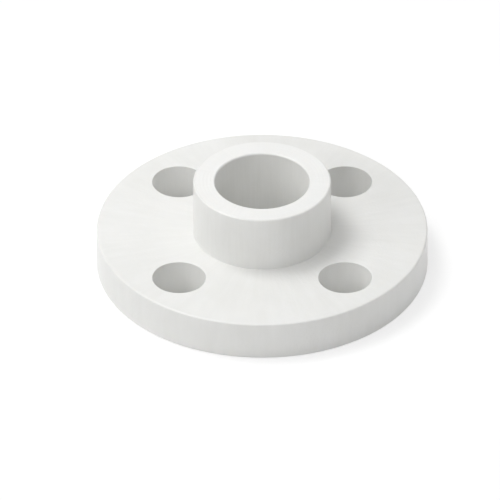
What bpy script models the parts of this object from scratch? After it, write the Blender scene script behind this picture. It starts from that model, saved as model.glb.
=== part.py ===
"""One-piece plastic pipe flange with a raised hub, for a nominal 3/4 inch line.

The flange is one moulded solid. The disc is bolted to a mating flange, and the hub that stands on the
disc's back holds the end of the pipe. The pipe slides into a slightly tapered socket, down to a stop,
and the line runs on through a narrower waterway to the sealing face. The sealing face is flat, with
concentric V grooves that bite into the gasket.

Sizes are in metres. +Z runs along the bore, from the sealing face at Z = 0 to the hub's open end. The
bolt holes straddle the X and Y axes, as they do on a pipe run.
"""

import math

import bpy

# Bolting: four half inch bolts on the class 150 bolt circle.
BOLT_COUNT = 4
BOLT_CIRCLE_DIAMETER = 0.06985
BOLT_HOLE_DIAMETER = 0.015875
RIM_MARGIN = 0.00635  # plastic left between a bolt hole and the rim

# Disc and hub.
DISC_THICKNESS = 0.0121
HUB_HEIGHT = 0.01775  # from the disc's back to the hub's open end
HUB_WALL = 0.0064  # beside the socket's mouth
EDGE_RADIUS = 0.00055  # on each outside edge and round the bore's two ends

# Bore, from the hub's open end to the sealing face.
SOCKET_MOUTH_DIAMETER = 0.0282
SOCKET_END_DIAMETER = 0.0266  # a hair under the pipe, so that the pipe's end wedges in
WATERWAY_DIAMETER = 0.0189
STOP_THICKNESS = 0.00445  # from the sealing face to the shoulder that stops the pipe

# Grooves in the sealing face.
GROOVE_PITCH = 0.002
GROOVE_WIDTH = 0.0008
GROOVE_DEPTH = 0.0004
GROOVE_LAND = 0.003  # plain face beside the waterway and beside the bolt holes, to a groove's middle

# Fineness of the round forms.
TURN_STEPS = 96
HOLE_STEPS = 48
ROUND_STEPS = 3

CUT_OVERRUN = 0.001  # how far a drill passes each face
SMOOTH_ANGLE = math.radians(35)
MERGE_DISTANCE = 0.00001

# White rigid PVC, moulded with a satin skin: linear colour and surface values.
PLASTIC_COLOUR = (0.84, 0.84, 0.82, 1.0)
PLASTIC_ROUGHNESS = 0.38

# Sizes that follow from those above.
RIM_RADIUS = BOLT_CIRCLE_DIAMETER / 2 + BOLT_HOLE_DIAMETER / 2 + RIM_MARGIN
HUB_RADIUS = SOCKET_MOUTH_DIAMETER / 2 + HUB_WALL
OVERALL_HEIGHT = DISC_THICKNESS + HUB_HEIGHT


def clear_scene():
    """Remove every object that is in the scene."""
    for thing in list(bpy.data.objects):
        bpy.data.objects.remove(thing, do_unlink=True)


def new_collection(name):
    """Make a collection in the scene."""
    collection = bpy.data.collections.new(name)
    bpy.context.scene.collection.children.link(collection)
    return collection


def plastic():
    """The moulded plastic of the whole flange."""
    material = bpy.data.materials.new("white_pvc")
    material.use_nodes = True
    shader = material.node_tree.nodes["Principled BSDF"]
    shader.inputs["Base Color"].default_value = PLASTIC_COLOUR
    shader.inputs["Roughness"].default_value = PLASTIC_ROUGHNESS
    shader.inputs["Metallic"].default_value = 0.0
    return material


def quarter_round(radius, height, first_degrees):
    """Points of a rounded edge, a quarter turn clockwise about a centre in the half section."""
    points = []
    for step in range(ROUND_STEPS + 1):
        angle = math.radians(first_degrees - 90 * step / ROUND_STEPS)
        points.append((radius + EDGE_RADIUS * math.cos(angle), height + EDGE_RADIUS * math.sin(angle)))
    return points


def groove_radii():
    """Radii of the sealing grooves, outermost first, centred between the waterway and the bolt holes."""
    innermost = WATERWAY_DIAMETER / 2 + GROOVE_LAND
    outermost = (BOLT_CIRCLE_DIAMETER - BOLT_HOLE_DIAMETER) / 2 - GROOVE_LAND
    gaps = math.floor((outermost - innermost) / GROOVE_PITCH)
    middle = (innermost + outermost) / 2
    return [middle + (gaps / 2 - index) * GROOVE_PITCH for index in range(gaps + 1)]


def outside_section():
    """Half section from the hub's end, down the hub, over the disc's back and down the rim."""
    return [
        *quarter_round(HUB_RADIUS - EDGE_RADIUS, OVERALL_HEIGHT - EDGE_RADIUS, 90),
        (HUB_RADIUS, DISC_THICKNESS),
        *quarter_round(RIM_RADIUS - EDGE_RADIUS, DISC_THICKNESS - EDGE_RADIUS, 90),
        *quarter_round(RIM_RADIUS - EDGE_RADIUS, EDGE_RADIUS, 0),
    ]


def sealing_section():
    """Half section of the grooves in the sealing face, from the outermost inwards."""
    points = []
    for radius in groove_radii():
        points += [
            (radius + GROOVE_WIDTH / 2, 0.0),
            (radius, GROOVE_DEPTH),
            (radius - GROOVE_WIDTH / 2, 0.0),
        ]
    return points


def bore_section():
    """Half section of the bore, up the waterway, over the pipe stop and up the tapered socket."""
    return [
        *quarter_round(WATERWAY_DIAMETER / 2 + EDGE_RADIUS, EDGE_RADIUS, -90),
        (WATERWAY_DIAMETER / 2, STOP_THICKNESS),
        (SOCKET_END_DIAMETER / 2, STOP_THICKNESS),
        *quarter_round(SOCKET_MOUTH_DIAMETER / 2 + EDGE_RADIUS, OVERALL_HEIGHT - EDGE_RADIUS, 180),
    ]


def turned_body(collection, material):
    """Turn the closed half section about the bore's axis."""
    section = outside_section() + sealing_section() + bore_section()
    count = len(section)
    mesh = bpy.data.meshes.new("flange")
    mesh.from_pydata(
        [(radius, 0.0, height) for radius, height in section],
        [(index, (index + 1) % count) for index in range(count)],
        [],
    )
    mesh.materials.append(material)
    body = bpy.data.objects.new("flange", mesh)
    collection.objects.link(body)
    turn = body.modifiers.new("turn", "SCREW")
    turn.axis = "Z"
    turn.angle = math.tau
    turn.steps = TURN_STEPS
    turn.render_steps = TURN_STEPS
    turn.use_merge_vertices = True
    turn.merge_threshold = MERGE_DISTANCE
    return body


def bolt_drill(index, collection):
    """Make the cutter of one bolt hole, with the holes midway between the X and Y axes."""
    angle = math.tau * (index + 0.5) / BOLT_COUNT
    bpy.ops.mesh.primitive_cylinder_add(
        vertices=HOLE_STEPS,
        radius=BOLT_HOLE_DIAMETER / 2,
        depth=DISC_THICKNESS + 2 * CUT_OVERRUN,
        location=(
            BOLT_CIRCLE_DIAMETER / 2 * math.cos(angle),
            BOLT_CIRCLE_DIAMETER / 2 * math.sin(angle),
            DISC_THICKNESS / 2,
        ),
    )
    drill = bpy.context.object
    drill.name = f"bolt_drill_{index + 1}"
    drill.hide_render = True
    drill.display_type = "WIRE"
    for holder in list(drill.users_collection):
        holder.objects.unlink(drill)
    collection.objects.link(drill)
    return drill


def drill_holes(body, cutters):
    """Cut the ring of bolt holes through the disc."""
    for index in range(BOLT_COUNT):
        cut = body.modifiers.new(f"bolt_hole_{index + 1}", "BOOLEAN")
        cut.operation = "DIFFERENCE"
        cut.object = bolt_drill(index, cutters)


def settle_mesh(body):
    """Replace the half section by the finished mesh, smooth on its round faces and crisp at its edges."""
    graph = bpy.context.evaluated_depsgraph_get()
    mesh = bpy.data.meshes.new_from_object(body.evaluated_get(graph))
    body.modifiers.clear()
    body.data = mesh
    mesh.shade_smooth()
    mesh.set_sharp_from_angle(angle=SMOOTH_ANGLE)


def main():
    """Build the flange."""
    clear_scene()
    part = new_collection("socket_flange")
    cutters = new_collection("cutters")
    body = turned_body(part, plastic())
    drill_holes(body, cutters)
    settle_mesh(body)


main()
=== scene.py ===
"""Looks of the moulded PVC pipe flange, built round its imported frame.

The flange is one injection moulding in white rigid PVC, so the scene has one piece. Its skin is a closed
surface of two kinds of patch: rings turned about the bore, and four sheets that run from the disc's back,
down through a bolt hole and out over the sealing face. Every edge is rounded, so each point has one exact
normal, which is worked out with the point. Each zone of the skin has the finish that its part of the mould,
or the lathe, gives it. The skin is also laid out flat, for maps that are baked from the finishes.

Sizes are in metres and angles in radians. +Z runs along the bore, from the sealing face at Z = 0 to the
hub's open end.
"""

import logging
import math
from collections.abc import Mapping, Sequence
from dataclasses import dataclass, field
from enum import Enum, IntEnum

import bpy
import numpy as np
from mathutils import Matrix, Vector
from numpy.typing import NDArray

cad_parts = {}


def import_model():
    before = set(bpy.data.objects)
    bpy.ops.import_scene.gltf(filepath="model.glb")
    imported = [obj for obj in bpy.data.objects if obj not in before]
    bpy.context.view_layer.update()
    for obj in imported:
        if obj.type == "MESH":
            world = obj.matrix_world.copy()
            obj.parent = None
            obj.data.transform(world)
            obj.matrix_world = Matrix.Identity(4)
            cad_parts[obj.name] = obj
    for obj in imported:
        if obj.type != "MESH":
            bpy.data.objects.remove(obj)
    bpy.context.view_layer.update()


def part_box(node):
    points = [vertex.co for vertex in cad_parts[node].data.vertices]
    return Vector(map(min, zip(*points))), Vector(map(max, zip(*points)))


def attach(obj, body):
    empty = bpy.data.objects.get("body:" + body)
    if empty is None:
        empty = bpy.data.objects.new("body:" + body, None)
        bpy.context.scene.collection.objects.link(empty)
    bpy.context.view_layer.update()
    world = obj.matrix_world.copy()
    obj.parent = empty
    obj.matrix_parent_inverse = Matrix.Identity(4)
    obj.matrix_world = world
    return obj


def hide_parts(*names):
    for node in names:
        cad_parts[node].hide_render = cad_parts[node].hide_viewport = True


FloatArray = NDArray[np.float64]
IndexArray = NDArray[np.int64]

LOG = logging.getLogger("flange")
BAKE_MAP = "OFBake"  # the export bakes a finish through a map of this name
MM = 0.001
MICRON = 0.000001
WHITE = "#FFFFFF"


def linear_colour(hex_colour: str) -> tuple[float, float, float, float]:
    """Turn an sRGB hex colour into a linear one, by the sRGB standard's own curve.

    Args:
        hex_colour: six hex digits after a hash sign.

    Returns:
        Red, green, blue and an alpha of 1.
    """
    channels = [int(hex_colour[start : start + 2], 16) / 255 for start in (1, 3, 5)]
    red, green, blue = (
        value / 12.92 if value <= 0.04045 else ((value + 0.055) / 1.055) ** 2.4 for value in channels
    )
    return red, green, blue, 1.0


def add_node(
    tree: bpy.types.NodeTree,
    kind: str,
    inputs: Mapping[str | int, object] | None = None,
    **settings: object,
) -> bpy.types.Node:
    """Add one node with its settings and links.

    Args:
        tree: node tree that gets the node.
        kind: the node's type.
        inputs: input names or numbers, each with a plain value or the output socket that feeds it.
        settings: the node's own properties.

    Returns:
        The new node.
    """
    node = tree.nodes.new(kind)
    for name, value in settings.items():
        setattr(node, name, value)
    for name, value in (inputs or {}).items():
        if isinstance(value, bpy.types.NodeSocket):
            tree.links.new(value, node.inputs[name])
        else:
            node.inputs[name].default_value = value
    return node


class MixInput(IntEnum):
    """A Mix node's inputs, by number, because those for numbers and for colours have the same names."""

    SHARE = 0
    NUMBER_A = 2
    NUMBER_B = 3
    COLOUR_A = 6
    COLOUR_B = 7


MIXED_COLOUR = 2  # the Mix node's output for colours


class ToolMark(Enum):
    """What the mould's steel, or a cutter, leaves on the plastic."""

    EGGSHELL = "low soft waves of a blasted cavity"
    DRAWN = "fine lines along the bore, from a core pulled straight out"
    TURNED = "fine rings about the bore, from a lathe"


@dataclass(frozen=True)
class PvcFinish:
    """White rigid PVC, injection moulded, as one surface of the mould leaves it.

    The pigment makes it an opaque, nearly neutral white. Its gloss is the steel's: satin off a blasted
    cavity, brighter off a polished core. Where the gate was cut off the hub's end, the plastic is duller
    and a shade whiter. Where the melt ran outwards from the hub, faint flow streaks differ a little in
    gloss and whiteness. A very shallow glow under the skin softens the smallest edges.
    """

    name: str
    mark: ToolMark
    roughness: float
    roughness_swing: float
    mark_pitch: float
    mark_depth: float
    mark_octaves: float = 2.0  # of finer noise, on top of the first
    mark_fineness: float = 0.45  # strength of an octave, as a share of the one before
    drawn_length: float = 25.0  # a drawn line's length over its width
    grain_size: float = 0.9 * MM  # blasting grit leaves 0.1 mm pits; drawn coarser, so that they show
    grain_depth: float = 80 * MICRON  # coarser in the same measure, so that the pits' slopes are real
    grain_octaves: float = 3.0
    grain_fineness: float = 0.6
    cloud_size: float = 17 * MM
    cloud_octaves: float = 2.0
    streak_width: float = 1.6 * MM  # at the streaks' circle, which is about the bolt circle
    streak_length: float = 14 * MM
    streak_circle: float = 35 * MM  # its radius
    streak_octaves: float = 3.0
    streak_share: float = 0.4  # of the drift in whiteness and gloss; the rest is clouds
    drift_start: float = 0.3  # where the noise is below this, the colour is the deep one
    drift_end: float = 0.7  # where it is above this, the colour is the pale one
    pale: str = "#EFEFED"
    deep: str = "#E8E8E5"
    refraction: float = 1.53  # rigid PVC's own
    glow_weight: float = 0.08
    glow_depth: float = 0.7 * MM
    glow_spread: tuple[float, float, float] = (1.0, 0.9, 0.75)  # of red, green and blue, in glow depths

    def _across(self, tree: bpy.types.NodeTree, place: bpy.types.NodeSocket) -> bpy.types.Node:
        """Leave the height out of a point's place."""
        return add_node(tree, "ShaderNodeVectorMath", {0: place, 1: (1.0, 1.0, 0.0)}, operation="MULTIPLY")

    def _streaks(self, tree: bpy.types.NodeTree, place: bpy.types.NodeSocket) -> bpy.types.NodeSocket:
        """Flow streaks, which run outwards on the disc and upright on the walls.

        They are noise at a point whose first two coordinates are the unit vector away from the bore, over
        the angle that a streak spans, and whose third is the way run from the bore, over a streak's length.

        Args:
            tree: the material's node tree.
            place: the point on the object.

        Returns:
            The socket that holds a value round 0.5.
        """
        across = self._across(tree, place)
        unit = add_node(tree, "ShaderNodeVectorMath", {0: across.outputs[0]}, operation="NORMALIZE")
        round_about = add_node(
            tree,
            "ShaderNodeVectorMath",
            {0: unit.outputs[0], "Scale": self.streak_circle / self.streak_width},
            operation="SCALE",
        )
        reach = add_node(tree, "ShaderNodeVectorMath", {0: across.outputs[0]}, operation="LENGTH")
        height = add_node(tree, "ShaderNodeSeparateXYZ", {0: place}).outputs[2]
        run = add_node(
            tree, "ShaderNodeMath", {0: reach.outputs["Value"], 1: height}, operation="SUBTRACT"
        )
        along = add_node(
            tree, "ShaderNodeMath", {0: run.outputs[0], 1: self.streak_length}, operation="DIVIDE"
        )
        outward = add_node(tree, "ShaderNodeCombineXYZ", {2: along.outputs[0]})
        spot = add_node(
            tree,
            "ShaderNodeVectorMath",
            {0: round_about.outputs[0], 1: outward.outputs[0]},
            operation="ADD",
        )
        return add_node(
            tree,
            "ShaderNodeTexNoise",
            {"Vector": spot.outputs[0], "Scale": 1.0, "Detail": self.streak_octaves},
        ).outputs[0]

    def _mark_height(
        self, tree: bpy.types.NodeTree, place: bpy.types.NodeSocket
    ) -> bpy.types.NodeSocket:
        """Height of the tool mark.

        Turned rings are half of one plus the sine of a full turn times the radius over the pitch. The other
        marks are noise of the pitch's size, drawn out along the bore where the core was pulled.

        Args:
            tree: the material's node tree.
            place: the point on the object.

        Returns:
            The socket that holds the height, from 0 to 1.
        """
        if self.mark is ToolMark.TURNED:
            across = self._across(tree, place)
            radius = add_node(tree, "ShaderNodeVectorMath", {0: across.outputs[0]}, operation="LENGTH")
            turns = add_node(
                tree,
                "ShaderNodeMath",
                {0: radius.outputs["Value"], 1: math.tau / self.mark_pitch},
                operation="MULTIPLY",
            )
            wave = add_node(tree, "ShaderNodeMath", {0: turns.outputs[0]}, operation="SINE")
            return add_node(
                tree, "ShaderNodeMath", {0: wave.outputs[0], 1: 0.5, 2: 0.5}, operation="MULTIPLY_ADD"
            ).outputs[0]
        squeeze = 1 / self.drawn_length if self.mark is ToolMark.DRAWN else 1.0
        spread = add_node(tree, "ShaderNodeMapping", {"Vector": place, "Scale": (1.0, 1.0, squeeze)})
        return add_node(
            tree,
            "ShaderNodeTexNoise",
            {
                "Vector": spread.outputs[0],
                "Scale": 1 / self.mark_pitch,
                "Detail": self.mark_octaves,
                "Roughness": self.mark_fineness,
            },
        ).outputs[0]

    def material(self) -> bpy.types.Material:
        """Build the finish.

        Returns:
            A material whose whiteness and gloss drift with clouds and streaks, with tool marks and grain.
        """
        material = bpy.data.materials.new(self.name)
        material.use_nodes = True
        tree = material.node_tree
        shader = tree.nodes["Principled BSDF"]
        place = add_node(tree, "ShaderNodeTexCoord").outputs["Object"]
        cloud = add_node(
            tree,
            "ShaderNodeTexNoise",
            {"Vector": place, "Scale": 1 / self.cloud_size, "Detail": self.cloud_octaves},
        )
        mixed = add_node(
            tree,
            "ShaderNodeMix",
            {
                MixInput.SHARE: self.streak_share,
                MixInput.NUMBER_A: cloud.outputs[0],
                MixInput.NUMBER_B: self._streaks(tree, place),
            },
        )
        drift = add_node(
            tree,
            "ShaderNodeMapRange",
            {"Value": mixed.outputs[0], "From Min": self.drift_start, "From Max": self.drift_end},
        ).outputs[0]
        colour = add_node(
            tree,
            "ShaderNodeMix",
            {
                MixInput.SHARE: drift,
                MixInput.COLOUR_A: linear_colour(self.deep),
                MixInput.COLOUR_B: linear_colour(self.pale),
            },
            data_type="RGBA",
        )
        gloss = add_node(
            tree,
            "ShaderNodeMapRange",
            {
                "Value": drift,
                "To Min": self.roughness - self.roughness_swing,
                "To Max": self.roughness + self.roughness_swing,
            },
        )
        marks = add_node(
            tree, "ShaderNodeBump", {"Distance": self.mark_depth, "Height": self._mark_height(tree, place)}
        )
        grain = add_node(
            tree,
            "ShaderNodeTexNoise",
            {
                "Vector": place,
                "Scale": 1 / self.grain_size,
                "Detail": self.grain_octaves,
                "Roughness": self.grain_fineness,
            },
        )
        relief = add_node(
            tree,
            "ShaderNodeBump",
            {"Distance": self.grain_depth, "Height": grain.outputs[0], "Normal": marks.outputs[0]},
        )
        tree.links.new(colour.outputs[MIXED_COLOUR], shader.inputs["Base Color"])
        tree.links.new(gloss.outputs[0], shader.inputs["Roughness"])
        tree.links.new(relief.outputs[0], shader.inputs["Normal"])
        shader.inputs["IOR"].default_value = self.refraction
        shader.inputs["Subsurface Weight"].default_value = self.glow_weight
        shader.inputs["Subsurface Radius"].default_value = self.glow_spread
        shader.inputs["Subsurface Scale"].default_value = self.glow_depth
        return material


class Zone(IntEnum):
    """Stretches of the skin with a finish of their own, in the order of the material slots."""

    BACK = 0
    SEALING_FACE = 1
    BORE = 2
    BOLT_HOLE = 3
    HUB_END = 4


FINISHES: dict[Zone, PvcFinish] = {
    # The cavity's steel is blasted: a satin skin with low waves, and with the deepest grain of all.
    Zone.BACK: PvcFinish(
        name="white_pvc_satin_cavity",
        mark=ToolMark.EGGSHELL,
        roughness=0.32,
        roughness_swing=0.03,
        mark_pitch=3.2 * MM,
        mark_depth=60 * MICRON,  # such waves are some 10 microns deep; drawn deeper, so that they show
    ),
    # The insert under the sealing face is turned on a lathe, which leaves fine rings.
    Zone.SEALING_FACE: PvcFinish(
        name="white_pvc_turned_insert",
        mark=ToolMark.TURNED,
        roughness=0.33,
        roughness_swing=0.03,
        mark_pitch=0.9 * MM,  # the insert's rings are 0.1 mm apart; drawn coarser, so that they show
        mark_depth=12 * MICRON,  # coarser in the same measure
        grain_depth=25 * MICRON,
    ),
    # The core is polished and is pulled straight out: the glossiest skin, with lines along the bore.
    Zone.BORE: PvcFinish(
        name="white_pvc_polished_core",
        mark=ToolMark.DRAWN,
        roughness=0.3,
        roughness_swing=0.015,
        mark_pitch=0.9 * MM,  # the core's lines are under 0.1 mm apart; drawn coarser, so that they show
        mark_depth=60 * MICRON,  # coarser in the same measure
        grain_depth=20 * MICRON,
    ),
    # The pins that make the bolt holes are ground: nearly the bore's gloss, and slightly finer lines.
    Zone.BOLT_HOLE: PvcFinish(
        name="white_pvc_ground_pin",
        mark=ToolMark.DRAWN,
        roughness=0.305,
        roughness_swing=0.015,
        mark_pitch=0.8 * MM,  # drawn coarser, as in the bore
        mark_depth=60 * MICRON,
        grain_depth=25 * MICRON,
    ),
    # The gate was cut off the hub's end on a lathe: fine rings, on a duller and slightly whiter skin.
    Zone.HUB_END: PvcFinish(
        name="white_pvc_faced_end",
        mark=ToolMark.TURNED,
        roughness=0.36,
        roughness_swing=0.03,
        mark_pitch=1.1 * MM,  # a facing cut's rings are 0.1 mm apart; drawn coarser, so that they show
        mark_depth=24 * MICRON,  # coarser in the same measure
        grain_depth=25 * MICRON,
        pale="#F4F4F2",
        deep="#EFEFED",
    ),
}


@dataclass(frozen=True)
class Corner:
    """A corner of a half section: its place, the radius that rounds it, and the zone from it onwards."""

    radius: float
    height: float
    rounding: float
    zone: Zone


@dataclass(frozen=True)
class Section:
    """Points of a half section in order, as rows of radius and height, with outward normals and zones."""

    points: FloatArray
    normals: FloatArray
    zones: IndexArray

    @classmethod
    def rounded(
        cls,
        corners: Sequence[Corner],
        before: tuple[float, float],
        after: tuple[float, float],
        facet: float,
        least_facets: int,
    ) -> "Section":
        """Round every corner by an arc that touches both of its sides.

        The outward normal is the way along the section turned a quarter to the left. At a corner it turns
        by the angle between the two sides. An arc point is the arc's centre plus the rounding times that
        normal, or minus it in a hollow corner, and the centre lies so that the arc starts on the first side
        at the rounding times the tangent of half the turn before the corner.

        Args:
            corners: the corners in order.
            before: the point that the section comes from.
            after: the point that it goes on to.
            facet: longest facet on an arc.
            least_facets: fewest facets on an arc.

        Returns:
            The rounded section.
        """
        ring = np.array([before, *((c.radius, c.height) for c in corners), after])
        ways = np.diff(ring, axis=0)
        ways /= np.linalg.norm(ways, axis=1, keepdims=True)
        first, last = ways[:-1], ways[1:]
        cross = first[:, 0] * last[:, 1] - first[:, 1] * last[:, 0]
        turn = np.arctan2(cross, (first * last).sum(axis=1))
        rounding = np.array([c.rounding for c in corners])
        side = np.where(turn < 0, 1.0, -1.0)
        normal = np.stack([-first[:, 1], first[:, 0]], axis=1)
        start = ring[1:-1] - first * (rounding * np.tan(np.abs(turn) / 2))[:, None]
        centre = start - normal * (side * rounding)[:, None]

        facets = np.maximum(np.ceil(rounding * np.abs(turn) / facet).astype(int), least_facets)
        owner = np.repeat(np.arange(len(corners)), facets + 1)
        first_point = np.cumsum(facets + 1) - (facets + 1)
        share = (np.arange(len(owner)) - first_point[owner]) / facets[owner]
        cosine, sine = np.cos(turn[owner] * share), np.sin(turn[owner] * share)
        normals = np.stack(
            [
                normal[owner, 0] * cosine - normal[owner, 1] * sine,
                normal[owner, 0] * sine + normal[owner, 1] * cosine,
            ],
            axis=1,
        )
        points = centre[owner] + normals * (side * rounding)[owner, None]
        return cls(points, normals, np.array([c.zone for c in corners])[owner])

    def refined(self, longest: float) -> "Section":
        """Split the straight stretches evenly.

        Args:
            longest: longest stretch that stays whole.

        Returns:
            The section with points added on its straight stretches.
        """
        length = np.linalg.norm(np.diff(self.points, axis=0), axis=1)
        pieces = np.append(np.ceil(length / longest).astype(int).clip(1), 1)
        owner = np.repeat(np.arange(len(self.points)), pieces)
        share = (np.arange(len(owner)) - (np.cumsum(pieces) - pieces)[owner]) / pieces[owner]
        following = np.minimum(owner + 1, len(self.points) - 1)
        step = (self.points[following] - self.points[owner]) * share[:, None]
        return Section(self.points[owner] + step, self.normals[owner], self.zones[owner])

    def swept(self, ways: FloatArray, centre: FloatArray) -> tuple[FloatArray, FloatArray]:
        """Carry the section round an axis along Z.

        A point is the centre plus its radius times the way, plus its height along Z. Its normal is the
        section's normal with the way in place of the radius.

        Args:
            ways: unit vectors in the XY plane, one for each place of the section.
            centre: where the axis meets the XY plane.

        Returns:
            Points and normals, as grids of section point by way.
        """
        upright = np.array([0.0, 0.0, 1.0])
        ways_3d = np.pad(ways, ((0, 0), (0, 1)))[None, :, :]
        points = self.points[:, 0, None, None] * ways_3d + self.points[:, 1, None, None] * upright
        normals = self.normals[:, 0, None, None] * ways_3d + self.normals[:, 1, None, None] * upright
        return points + np.append(centre, 0.0), normals


@dataclass(frozen=True)
class Wall:
    """A round wall, and into how many equal pieces it is cut where it is unrolled."""

    centre: tuple[float, float]
    radius: float
    foot: float
    height: float
    pieces: int = 1
    hollow: bool = False  # its plastic is outside it, as round a hole

    def block(self, gap: float) -> tuple[float, float]:
        """Width and height of the unrolled pieces, which lie one above the other with a gap between."""
        return math.tau * self.radius / self.pieces, self.pieces * (self.height + gap) - gap


class DiscView(IntEnum):
    """The flat pattern's first blocks, which the walls' blocks follow."""

    ABOVE = 0
    BELOW = 1


@dataclass(frozen=True)
class FlatPattern:
    """The skin laid out flat on a square sheet, with no two faces on one spot.

    It holds what is seen from above, what is seen from below, and each wall unrolled. The finish doesn't
    read it: it is there for maps that are baked from the finish.
    """

    disc_radius: float
    walls: tuple[Wall, ...]
    sheet: float = 200 * MM
    gap: float = 1.0 * MM
    steepest: float = math.radians(56)  # steeper faces are unrolled, and the grooves' sides, at 45, aren't

    def block_corners(self) -> FloatArray:
        """Stand the blocks on shelves, the tallest first, each on the first shelf that has room.

        Returns:
            The lower left corner of each block: the disc's views, then the walls.
        """
        disc = (2 * self.disc_radius, 2 * self.disc_radius)
        sizes = [*(disc for _ in DiscView), *(wall.block(self.gap) for wall in self.walls)]
        corners = np.zeros((len(sizes), 2))
        shelves: list[list[float]] = []  # the next free place on each shelf
        top = self.gap
        for number in sorted(range(len(sizes)), key=lambda block: -sizes[block][1]):
            width, height = sizes[number]
            shelf = next((known for known in shelves if known[0] + width <= self.sheet), None)
            if shelf is None:
                shelf = [self.gap, top]
                shelves.append(shelf)
                top += height + self.gap
            corners[number] = shelf
            shelf[0] += width + self.gap
        return corners

    def unrolled(self, corners: FloatArray, owner: IndexArray) -> FloatArray:
        """Unroll faces from their walls.

        The way along the wall is the angle round its axis in turns, less the start of its piece, times the
        piece's length, and it is counted backwards on a hollow wall. A corner's angle is taken within half
        a turn of its face's middle. The way up is the height above the wall's foot, plus the pieces below.

        Args:
            corners: corners of each face.
            owner: the wall of each face.

        Returns:
            The corners' places in the walls' blocks.
        """
        centre = np.array([wall.centre for wall in self.walls])[owner]
        pieces = np.array([wall.pieces for wall in self.walls])[owner]
        height = np.array([wall.height for wall in self.walls])[owner]
        foot = np.array([wall.foot for wall in self.walls])[owner]
        length = np.array([wall.block(self.gap)[0] for wall in self.walls])[owner]
        hollow = np.array([wall.hollow for wall in self.walls])[owner]
        away = corners[..., :2] - centre[:, None]
        middle = away.mean(axis=1)
        home = np.arctan2(middle[:, 1], middle[:, 0]) / math.tau % 1
        turns = np.arctan2(away[..., 1], away[..., 0]) / math.tau
        turns = home[:, None] + (turns - home[:, None] + 0.5) % 1 - 0.5
        piece = np.floor(home * pieces)
        along = turns * pieces[:, None] - piece[:, None]
        along = np.where(hollow[:, None], 1 - along, along) * length[:, None]
        up = corners[..., 2] - foot[:, None] + (piece * (height + self.gap))[:, None]
        return np.stack([along, up], axis=-1)

    def laid_out(self, points: FloatArray, faces: IndexArray) -> FloatArray:
        """Lay every face out on the sheet.

        A face's slope is read from the cross of its two diagonals. A steep face belongs to the wall whose
        radius is nearest to its own distance from that wall's axis. Any other face keeps its X and Y, with
        X turned round where it is seen from below.

        Args:
            points: the skin's points.
            faces: the skin's faces.

        Returns:
            Each face's four corners, in shares of the sheet.
        """
        corners = points[faces]
        outward = np.cross(corners[:, 2] - corners[:, 0], corners[:, 3] - corners[:, 1])
        upward = outward[:, 2] / np.linalg.norm(outward, axis=1)
        below = upward < 0
        across = np.where(below[:, None], -corners[..., 0], corners[..., 0])
        places = np.stack([across, corners[..., 1]], axis=-1) + self.disc_radius
        block = np.where(below, DiscView.BELOW, DiscView.ABOVE)

        steep = np.abs(upward) < math.cos(self.steepest)
        centres = np.array([wall.centre for wall in self.walls])
        radii = np.array([wall.radius for wall in self.walls])
        apart = np.linalg.norm(corners[steep].mean(axis=1)[:, None, :2] - centres, axis=-1)
        owner = np.abs(apart - radii).argmin(axis=1)
        places[steep] = self.unrolled(corners[steep], owner)
        block[steep] = len(DiscView) + owner
        return (places + self.block_corners()[block][:, None]) / self.sheet


@dataclass
class Skin:
    """Points, normals and four-sided faces of one closed surface, gathered patch by patch."""

    points: list[FloatArray] = field(default_factory=list)
    normals: list[FloatArray] = field(default_factory=list)
    faces: list[IndexArray] = field(default_factory=list)
    zones: list[IndexArray] = field(default_factory=list)
    count: int = 0

    def add_points(self, points: FloatArray, normals: FloatArray) -> IndexArray:
        """Take in a patch of points.

        Args:
            points: the points, in an array of any shape.
            normals: their outward normals.

        Returns:
            The points' numbers, in the same shape.
        """
        numbers = np.arange(points[..., 0].size).reshape(points.shape[:-1]) + self.count
        self.points.append(points.reshape(-1, 3))
        self.normals.append(normals.reshape(-1, 3))
        self.count += numbers.size
        return numbers

    def add_faces(self, grid: IndexArray, zones: IndexArray) -> None:
        """Lay faces over a grid of point numbers whose second way closes on itself.

        A face's outward side is the first way crossed with the second.

        Args:
            grid: point numbers, section by round.
            zones: the zone of each strip of faces.
        """
        onward = np.roll(grid, -1, axis=1)
        faces = np.stack([grid[:-1], grid[1:], onward[1:], onward[:-1]], axis=-1)
        self.faces.append(faces.reshape(-1, 4))
        self.zones.append(np.repeat(zones, grid.shape[1]))

    def mesh(self, name: str, pattern: FlatPattern) -> bpy.types.Mesh:
        """Make the mesh, with its exact normals and its flat pattern.

        Args:
            name: the mesh's name.
            pattern: how the faces are laid out flat.

        Returns:
            The mesh.
        """
        mesh = bpy.data.meshes.new(name)
        points, faces = np.concatenate(self.points), np.concatenate(self.faces)
        mesh.from_pydata(points, [], faces)
        mesh.polygons.foreach_set("material_index", np.concatenate(self.zones).astype(np.int32))
        mesh.shade_smooth()
        mesh.normals_split_custom_set_from_vertices(np.concatenate(self.normals))
        flat_map = mesh.uv_layers.new(name=BAKE_MAP)
        flat_map.uv.foreach_set("vector", pattern.laid_out(points, faces).astype(np.float32).ravel())
        mesh.update()
        return mesh


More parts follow.
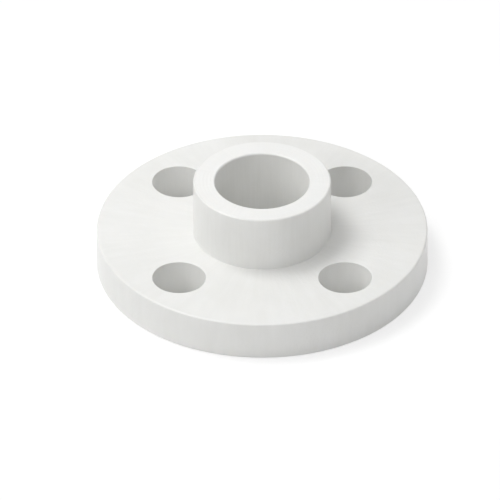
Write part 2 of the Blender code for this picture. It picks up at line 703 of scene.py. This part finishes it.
@dataclass(frozen=True)
class PipeFlange:
    """The whole moulding: disc, hub, bore, sealing face and bolt holes."""

    rim_radius: float
    overall_height: float
    disc_thickness: float = 12.1 * MM
    bolt_count: int = 4
    bolt_circle_radius: float = 69.85 / 2 * MM
    bolt_hole_radius: float = 15.875 / 2 * MM
    edge_radius: float = 0.55 * MM
    hair_radius: float = 0.15 * MM  # at the hub's root, the bolt holes and the pipe stop, which look sharp
    hub_wall: float = 6.4 * MM
    mouth_radius: float = 28.2 / 2 * MM
    socket_end_radius: float = 26.6 / 2 * MM
    waterway_radius: float = 18.9 / 2 * MM
    stop_thickness: float = 4.45 * MM
    groove_pitch: float = 2.0 * MM
    groove_width: float = 0.8 * MM
    groove_depth: float = 0.4 * MM
    groove_land: float = 3.0 * MM
    groove_lip: float = 0.05 * MM
    facet: float = 0.1 * MM
    least_facets: int = 3
    longest_stretch: float = 2.2 * MM
    quadrant_steps: int = 60  # steps round the bore from one bolt hole's sheet to the next
    spoke_steps: int = 18  # steps from the hub to the rim between two sheets
    sheet_steps: int = 10  # steps from a sheet's outline to its hole

    @property
    def hub_radius(self) -> float:
        """Outside radius of the hub."""
        return self.mouth_radius + self.hub_wall

    def hole_angle(self, index: int) -> float:
        """Angle of a bolt hole round the bore, midway between the X and Y axes."""
        return math.tau * (index + 0.5) / self.bolt_count

    def hole_centre(self, index: int) -> tuple[float, float]:
        """Where a bolt hole's axis is."""
        angle = self.hole_angle(index)
        return self.bolt_circle_radius * math.cos(angle), self.bolt_circle_radius * math.sin(angle)

    def groove_corners(self) -> list[Corner]:
        """Corners of the V grooves, from the outermost inwards, centred between waterway and bolt holes.

        Returns:
            Two lips and a root for each groove.
        """
        innermost = self.waterway_radius + self.groove_land
        outermost = self.bolt_circle_radius - self.bolt_hole_radius - self.groove_land
        gaps = math.floor((outermost - innermost) / self.groove_pitch)
        middle = (innermost + outermost) / 2
        corners = []
        for index in range(gaps + 1):
            radius = middle + (gaps / 2 - index) * self.groove_pitch
            for offset, height in ((1, 0.0), (0, self.groove_depth), (-1, 0.0)):
                place = radius + offset * self.groove_width / 2
                corners.append(Corner(place, height, self.groove_lip, Zone.SEALING_FACE))
        return corners

    def rim_corners(self) -> list[Corner]:
        """Corners of the rim.

        Returns:
            The disc's back edge, then the sealing face's edge.
        """
        return [
            Corner(self.rim_radius, self.disc_thickness, self.edge_radius, Zone.BACK),
            Corner(self.rim_radius, 0.0, self.edge_radius, Zone.BACK),
        ]

    def core_corners(self) -> list[Corner]:
        """Corners from the sealing grooves through the bore to the hub's root.

        Returns:
            The grooves, the waterway, the pipe stop, the socket, and the hub from its end to its root.
        """
        return [
            *self.groove_corners(),
            Corner(self.waterway_radius, 0.0, self.edge_radius, Zone.BORE),
            Corner(self.waterway_radius, self.stop_thickness, self.hair_radius, Zone.BORE),
            Corner(self.socket_end_radius, self.stop_thickness, self.hair_radius, Zone.BORE),
            Corner(self.mouth_radius, self.overall_height, self.edge_radius, Zone.HUB_END),
            Corner(self.hub_radius, self.overall_height, self.edge_radius, Zone.BACK),
            Corner(self.hub_radius, self.disc_thickness, self.hair_radius, Zone.BACK),
        ]

    def hole_corners(self) -> list[Corner]:
        """Corners of a bolt hole's wall, with radii counted from the hole's axis as less than nothing.

        Returns:
            The hole's edge on the disc's back, then its edge on the sealing face.
        """
        return [
            Corner(-self.bolt_hole_radius, self.disc_thickness, self.hair_radius, Zone.BOLT_HOLE),
            Corner(-self.bolt_hole_radius, 0.0, self.hair_radius, Zone.BOLT_HOLE),
        ]

    def section(
        self, corners: Sequence[Corner], before: tuple[float, float], after: tuple[float, float]
    ) -> Section:
        """Round and refine a run of corners that comes from the one point and goes on to the other."""
        rounded = Section.rounded(corners, before, after, self.facet, self.least_facets)
        return rounded.refined(self.longest_stretch)

    def turned_rings(self, skin: Skin) -> tuple[IndexArray, IndexArray]:
        """Turn the rim and the core about the bore.

        Args:
            skin: the surface that gets the patches.

        Returns:
            Point numbers of the rim's rings and of the core's rings.
        """
        rim, core = self.rim_corners(), self.core_corners()
        steps = self.bolt_count * self.quadrant_steps
        turns = np.arange(steps) / steps
        ways = np.stack([np.cos(math.tau * turns), np.sin(math.tau * turns)], axis=1)
        grids = []
        for run, other in ((rim, core), (core, rim)):
            section = self.section(
                run, (other[-1].radius, other[-1].height), (other[0].radius, other[0].height)
            )
            grid = skin.add_points(*section.swept(ways, np.zeros(2)))
            skin.add_faces(grid, section.zones[:-1])
            grids.append(grid)
        return grids[0], grids[1]

    def spokes(self, skin: Skin, outer: IndexArray, inner: IndexArray) -> IndexArray:
        """Lay straight rows of points from an outer ring to an inner one, midway between bolt holes.

        Args:
            skin: the surface that gets the points.
            outer: point numbers of the outer ring.
            inner: point numbers of the inner ring.

        Returns:
            Point numbers, spoke by place from the outer ring to the inner one, both ends included.
        """
        known = np.concatenate(skin.points)
        ends = np.stack([outer[:: self.quadrant_steps], inner[:: self.quadrant_steps]], axis=1)
        share = (np.arange(1, self.spoke_steps) / self.spoke_steps)[None, :, None]
        points = known[ends[:, :1]] * (1 - share) + known[ends[:, 1:]] * share
        normals = np.broadcast_to(np.concatenate(skin.normals)[outer[0]], points.shape)
        return np.hstack([ends[:, :1], skin.add_points(points, normals), ends[:, 1:]])

    def sheet_outline(
        self, index: int, outer: IndexArray, inner: IndexArray, spokes: IndexArray
    ) -> IndexArray:
        """Follow the outline of one bolt hole's sheet, clockwise from above.

        Args:
            index: which bolt hole.
            outer: point numbers of the outer ring.
            inner: point numbers of the inner ring.
            spokes: point numbers of the spokes.

        Returns:
            Point numbers round the outline: rim backwards, one spoke in, hub forwards, next spoke out.
        """
        steps = self.quadrant_steps
        along = np.arange(index * steps, (index + 1) * steps)
        onward = spokes[(index + 1) % self.bolt_count]
        rim_part = outer[(along[::-1] + 1) % len(outer)]
        return np.concatenate([rim_part, spokes[index][:-1], inner[along], onward[:0:-1]])

    def bolt_hole_sheets(self, skin: Skin, rim: IndexArray, core: IndexArray) -> None:
        """Join rim and core by a sheet through each bolt hole.

        On a flat face the sheet is a blend: a point is the outline's point times one share, plus the
        matching point of the hole's edge times the rest. In between, the hole's section is carried round
        the hole's axis.

        Args:
            skin: the surface that gets the patches.
            rim: point numbers of the rim's rings, from the back to the sealing face.
            core: point numbers of the core's rings, from the sealing face to the hub's root.
        """
        back = (rim[0], core[-1])
        face = (rim[-1], core[0])
        back_spokes, face_spokes = self.spokes(skin, *back), self.spokes(skin, *face)
        beyond = -self.bolt_hole_radius - self.edge_radius  # on the flat faces, past the hole's rounding
        section = self.section(self.hole_corners(), (beyond, self.disc_thickness), (beyond, 0.0))
        share = (np.arange(1, self.sheet_steps) / self.sheet_steps)[:, None, None]
        back_zones = np.full(self.sheet_steps, Zone.BACK)
        face_zones = np.full(self.sheet_steps, Zone.SEALING_FACE)
        for index in range(self.bolt_count):
            outline_back = self.sheet_outline(index, *back, back_spokes)
            outline_face = self.sheet_outline(index, *face, face_spokes)
            steps = np.arange(len(outline_back)) - (self.quadrant_steps - 1) / 2
            angles = self.hole_angle(index) - math.tau * steps / len(outline_back)
            ways = -np.stack([np.cos(angles), np.sin(angles)], axis=1)
            wall, wall_normals = section.swept(ways, np.array(self.hole_centre(index)))
            known = np.concatenate(skin.points)
            sheets = []
            for outline, edge, normal in (
                (known[outline_back], wall[0], wall_normals[0]),
                (known[outline_face], wall[-1], wall_normals[-1]),
            ):
                points = outline * (1 - share) + edge * share
                sheets.append(skin.add_points(points, np.broadcast_to(normal, points.shape)))
            grid = np.vstack(
                [
                    outline_back[None],
                    sheets[0],
                    skin.add_points(wall, wall_normals),
                    sheets[1][::-1],
                    outline_face[None],
                ]
            )
            skin.add_faces(grid, np.concatenate([back_zones, section.zones[:-1], face_zones]))

    def pattern(self) -> FlatPattern:
        """Say how the skin is laid out flat.

        Returns:
            The flat pattern, with the rim's wall and the bolt holes' walls cut in two.
        """
        axis = (0.0, 0.0)
        socket_radius = (self.mouth_radius + self.socket_end_radius) / 2
        socket_height = self.overall_height - self.stop_thickness
        hub_height = self.overall_height - self.disc_thickness
        holes = [
            Wall(
                self.hole_centre(index),
                self.bolt_hole_radius,
                foot=0.0,
                height=self.disc_thickness,
                pieces=2,
                hollow=True,
            )
            for index in range(self.bolt_count)
        ]
        walls = (
            Wall(axis, self.rim_radius, foot=0.0, height=self.disc_thickness, pieces=2),
            Wall(axis, self.hub_radius, foot=self.disc_thickness, height=hub_height),
            Wall(axis, socket_radius, foot=self.stop_thickness, height=socket_height, hollow=True),
            Wall(axis, self.waterway_radius, foot=0.0, height=self.stop_thickness, hollow=True),
            *holes,
        )
        return FlatPattern(self.rim_radius, walls)

    def build(self) -> bpy.types.Object:
        """Build and dress the flange.

        Returns:
            The finished piece, at the origin.
        """
        skin = Skin()
        rim, core = self.turned_rings(skin)
        self.bolt_hole_sheets(skin, rim, core)
        mesh = skin.mesh("moulded_flange", self.pattern())
        for zone in Zone:
            mesh.materials.append(FINISHES[zone].material())
        piece = bpy.data.objects.new("moulded_flange", mesh)
        bpy.context.scene.collection.objects.link(piece)
        return piece


@dataclass(frozen=True)
class Softbox:
    """A square lamp that faces the flange."""

    name: str
    azimuth: float  # 0 is the camera's side, and a quarter turn is +X
    elevation: float
    distance: float
    width: float
    power: float
    colour: str = WHITE

    def build(self, target: Vector) -> None:
        """Put the lamp in its place.

        Args:
            target: the point that it faces.
        """
        lamp = bpy.data.lights.new(self.name, "AREA")
        lamp.shape = "SQUARE"
        lamp.size = self.width
        lamp.energy = self.power
        lamp.color = linear_colour(self.colour)[:3]
        holder = bpy.data.objects.new(self.name, lamp)
        away = Vector(
            (
                math.sin(self.azimuth) * math.cos(self.elevation),
                -math.cos(self.azimuth) * math.cos(self.elevation),
                math.sin(self.elevation),
            )
        )
        holder.location = target + away * self.distance
        holder.rotation_mode = "QUATERNION"
        holder.rotation_quaternion = away.to_track_quat("Z", "Y")
        bpy.context.scene.collection.objects.link(holder)


@dataclass(frozen=True)
class Studio:
    """A sheet of white paper under the flange, soft lamps and a sky that is brightest overhead."""

    floor_width: float = 6.0
    floor_gap: float = 0.02 * MM  # keeps the paper clear of the sealing face
    paper: str = "#E4E4E4"  # the paper's own colour, which throws light back on the flange
    paper_shown: str = "#B4B4B4"  # share of the falling light that shows in the picture
    paper_glow: float = 0.6  # the rest of the way to white
    shadow_reach: float = 75.0 * MM  # beyond this the paper starts to turn plain white, as the sky is
    white_reach: float = 190.0 * MM  # beyond this it is plain white
    white_strength: float = 1.0  # a background of this strength is plain white
    horizon_strength: float = 0.3
    zenith_strength: float = 0.55
    softboxes: tuple[Softbox, ...] = (
        # The main light falls steeply from the left.
        Softbox(
            name="key_softbox",
            azimuth=math.radians(-115),
            elevation=math.radians(66),
            distance=0.9,
            width=0.4,
            power=3.6,
        ),
        # A low light on the left of the walls, from where they darken to the right.
        Softbox(
            name="side_softbox",
            azimuth=math.radians(-62),
            elevation=math.radians(25),
            distance=1.0,
            width=0.5,
            power=2.0,
        ),
        # Lower than the camera, so that the hub's shadow on the disc shows behind the hub's far edge.
        Softbox(
            name="front_softbox",
            azimuth=math.radians(-12),
            elevation=math.radians(31),
            distance=1.0,
            width=0.22,
            power=0.9,
        ),
        # A faint light from behind, which the flat faces mirror to the camera as a soft sheen.
        Softbox(
            name="back_softbox",
            azimuth=math.radians(-170),
            elevation=math.radians(36),
            distance=0.5,
            width=0.12,
            power=0.06,
        ),
        # A wide low light from the right, which keeps that side of the walls from going dark.
        Softbox(
            name="fill_softbox",
            azimuth=math.radians(115),
            elevation=math.radians(15),
            distance=1.2,
            width=0.8,
            power=1.6,
        ),
    )

    def build_paper(self) -> bpy.types.Object:
        """Lay the paper.

        Seen or mirrored, the paper shows the shadow near the flange and is plain white further out. The
        share of white rises smoothly from one reach to the other with the distance from the bore.

        Returns:
            The floor.
        """
        half, level = self.floor_width / 2, -self.floor_gap
        corners = [(-half, -half, level), (half, -half, level), (half, half, level), (-half, half, level)]
        mesh = bpy.data.meshes.new("paper")
        mesh.from_pydata(corners, [], [(0, 1, 2, 3)])
        material = bpy.data.materials.new("white_background_paper")
        material.use_nodes = True
        tree = material.node_tree
        tree.nodes.clear()
        path = add_node(tree, "ShaderNodeLightPath")
        seen = add_node(
            tree,
            "ShaderNodeMath",
            {0: path.outputs["Is Camera Ray"], 1: path.outputs["Is Glossy Ray"]},
            operation="MAXIMUM",
        )
        lit = add_node(tree, "ShaderNodeBsdfDiffuse", {"Color": linear_colour(self.paper)})
        shown = add_node(tree, "ShaderNodeBsdfDiffuse", {"Color": linear_colour(self.paper_shown)})
        glow = add_node(tree, "ShaderNodeEmission", {"Strength": self.paper_glow})
        near = add_node(tree, "ShaderNodeAddShader", {0: shown.outputs[0], 1: glow.outputs[0]})
        place = add_node(tree, "ShaderNodeTexCoord").outputs["Object"]
        reach = add_node(tree, "ShaderNodeVectorMath", {0: place}, operation="LENGTH")
        whiteness = add_node(
            tree,
            "ShaderNodeMapRange",
            {"Value": reach.outputs["Value"], "From Min": self.shadow_reach, "From Max": self.white_reach},
            interpolation_type="SMOOTHSTEP",
        )
        white = add_node(tree, "ShaderNodeEmission", {"Strength": self.white_strength})
        picture = add_node(
            tree,
            "ShaderNodeMixShader",
            {0: whiteness.outputs[0], 1: near.outputs[0], 2: white.outputs[0]},
        )
        mix = add_node(
            tree,
            "ShaderNodeMixShader",
            {0: seen.outputs[0], 1: lit.outputs[0], 2: picture.outputs[0]},
        )
        add_node(tree, "ShaderNodeOutputMaterial", {0: mix.outputs[0]})
        mesh.materials.append(material)
        floor = bpy.data.objects.new("paper", mesh)
        bpy.context.scene.collection.objects.link(floor)
        return floor

    def build_sky(self) -> None:
        """Light from above, fading to the horizon, with plain white behind."""
        world = bpy.data.worlds.new("overhead_sky")
        world.use_nodes = True
        tree = world.node_tree
        tree.nodes.clear()
        path = add_node(tree, "ShaderNodeLightPath")
        way = add_node(tree, "ShaderNodeTexCoord").outputs["Generated"]
        upwards = add_node(tree, "ShaderNodeSeparateXYZ", {0: way}).outputs[2]
        dome = add_node(
            tree,
            "ShaderNodeMapRange",
            {"Value": upwards, "To Min": self.horizon_strength, "To Max": self.zenith_strength},
            interpolation_type="SMOOTHSTEP",
        )
        light = add_node(tree, "ShaderNodeBackground", {"Strength": dome.outputs[0]})
        white = add_node(tree, "ShaderNodeBackground", {"Strength": self.white_strength})
        for background in (light, white):
            background.inputs["Color"].default_value = linear_colour(WHITE)
        mix = add_node(
            tree,
            "ShaderNodeMixShader",
            {0: path.outputs["Is Camera Ray"], 1: light.outputs[0], 2: white.outputs[0]},
        )
        add_node(tree, "ShaderNodeOutputWorld", {0: mix.outputs[0]})
        bpy.context.scene.world = world

    def build(self, target: Vector) -> bpy.types.Object:
        """Build the studio.

        Args:
            target: the point that the lamps face.

        Returns:
            The floor.
        """
        self.build_sky()
        for softbox in self.softboxes:
            softbox.build(target)
        return self.build_paper()


@dataclass(frozen=True)
class IsometricCamera:
    """The drawing's view: isometric, with no perspective, and the bore's axis upright in the picture."""

    picture_pixels: float = 500.0
    pixel: float = 0.29746 * MM  # real size of a pixel of the picture, square to the view
    axis_across: float = 262.15  # where the bore's axis is in the picture, from its left edge
    disc_back_down: float = 229.61  # where the middle of the disc's back is, from the picture's top edge
    elevation: float = math.atan(math.sqrt(0.5))  # the isometric view's, 35.26 degrees
    distance: float = 0.6
    nearest: float = 0.01  # what is nearer to the camera doesn't show
    furthest: float = 10.0  # nor does what is further

    def build(self, disc_back: Vector) -> None:
        """Put the camera in its place.

        The picture's middle lies left of the disc's back and below it by the pixels between them, each
        measured along the picture's own sides.

        Args:
            disc_back: middle of the disc's back.
        """
        back = Vector((0.0, -math.cos(self.elevation), math.sin(self.elevation)))
        up = Vector((0.0, math.sin(self.elevation), math.cos(self.elevation)))
        across = Vector((1.0, 0.0, 0.0))
        middle = self.picture_pixels / 2
        target = disc_back - across * (self.axis_across - middle) * self.pixel
        target -= up * (middle - self.disc_back_down) * self.pixel
        lens = bpy.data.cameras.new("isometric_camera")
        lens.type = "ORTHO"
        lens.ortho_scale = self.picture_pixels * self.pixel
        lens.clip_start = self.nearest
        lens.clip_end = self.furthest
        camera = bpy.data.objects.new("isometric_camera", lens)
        camera.location = target + back * self.distance
        camera.rotation_mode = "QUATERNION"
        camera.rotation_quaternion = back.to_track_quat("Z", "Y")
        bpy.context.scene.collection.objects.link(camera)
        bpy.context.scene.camera = camera


def main() -> None:
    """Load the frame and build the flange, the studio and the camera."""
    logging.basicConfig(level=logging.INFO, format="%(message)s")
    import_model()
    lowest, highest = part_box("flange")
    flange = PipeFlange(rim_radius=(highest.x - lowest.x) / 2, overall_height=highest.z - lowest.z)
    piece = flange.build()
    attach(piece, "root")
    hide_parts("flange")
    LOG.info("%s: %d points, %d faces", piece.name, len(piece.data.vertices), len(piece.data.polygons))
    disc_back = Vector((0.0, 0.0, flange.disc_thickness))
    Studio().build(disc_back)
    IsometricCamera().build(disc_back)
    bpy.context.scene.view_settings.view_transform = "Standard"


if __name__ == "__main__":
    main()
